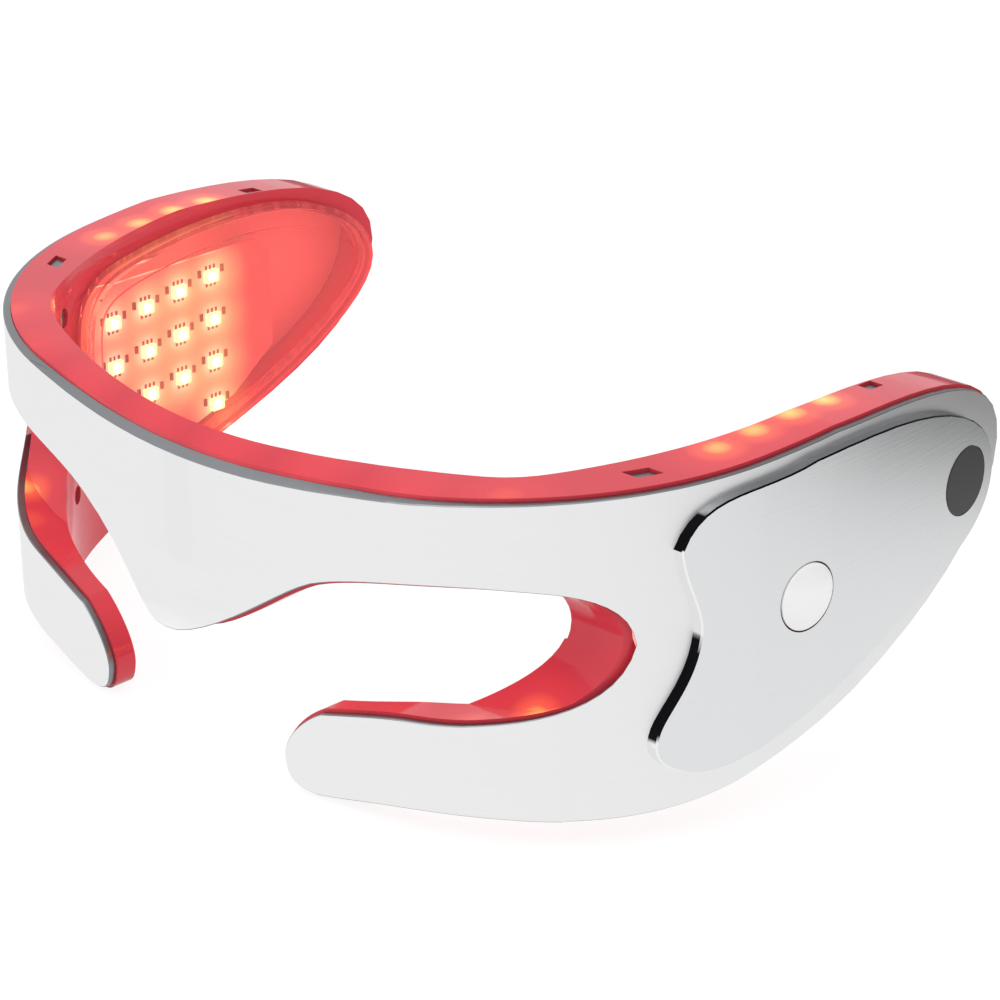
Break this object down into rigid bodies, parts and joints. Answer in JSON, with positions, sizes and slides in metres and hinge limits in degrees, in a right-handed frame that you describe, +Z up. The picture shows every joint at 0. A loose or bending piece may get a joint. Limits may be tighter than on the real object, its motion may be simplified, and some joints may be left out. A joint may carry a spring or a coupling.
{
  "type": "led eye mask",
  "caption": "Wrap-round LED eye mask: pale shell with two eye openings, red translucent face liner, lamp boards in the temples and a push button on the left side.",
  "frame": {"origin": "under the middle of the whole part, at the height of its lowest point", "axes": "+X is the wearer's left, +Y runs back from the brow towards the ears, +Z is up"},
  "size_m": [0.1873, 0.1228, 0.0666],
  "materials": {
    "white_shell": "satin",
    "red_liner": "translucent",
    "red_window": "translucent",
    "brushed_plate": "brushed",
    "dark_disc": "satin",
    "white_button": "gloss",
    "black_plastic": "matte",
    "circuit_board": "satin",
    "led_board": "satin",
    "led_lens": "lit",
    "chip_ceramic": "matte",
    "flex_strip": "satin",
    "cell_foil": "satin",
    "black_foam": "matte",
    "socket_steel": "satin",
    "screw_steel": "satin"
  },
  "bodies": {
    "mask": {"outer_shell": "white_shell", "face_liner": "red_liner", "left_cover_plate": "brushed_plate", "right_cover_plate": "brushed_plate", "side_disc": "dark_disc", "switch_body": "black_plastic", "control_board": "circuit_board", "left_led_board": "led_board", "right_led_board": "led_board", "left_temple_leds": "led_lens", "right_temple_leds": "led_lens", "board_resistors": "chip_ceramic", "left_temple_window": "red_window", "right_temple_window": "red_window", "brow_led_strip": "flex_strip", "brow_leds": "led_lens", "left_cheek_strip": "flex_strip", "right_cheek_strip": "flex_strip", "cheek_leds": "led_lens", "battery": "cell_foil", "battery_foam": "black_foam", "charging_socket": "socket_steel", "housing_screws": "screw_steel"},
    "button": {"power_button": "white_button"},
    "plunger": {"switch_plunger": "black_plastic"}
  },
  "joints": [
    {"name": "button_press", "type": "slide", "parent": "mask", "child": "button", "axis": [-0.996, 0.0889, 0], "range_m": [0, 0.0006], "stiffness_N_per_m": 900},
    {"name": "plunger_press", "type": "slide", "parent": "mask", "child": "plunger", "axis": [-0.996, 0.0889, 0], "range_m": [0, 0.0006]}
  ],
  "couplings": [
    {"joint": "plunger_press", "follows": "button_press", "ratio": 1}
  ]
}
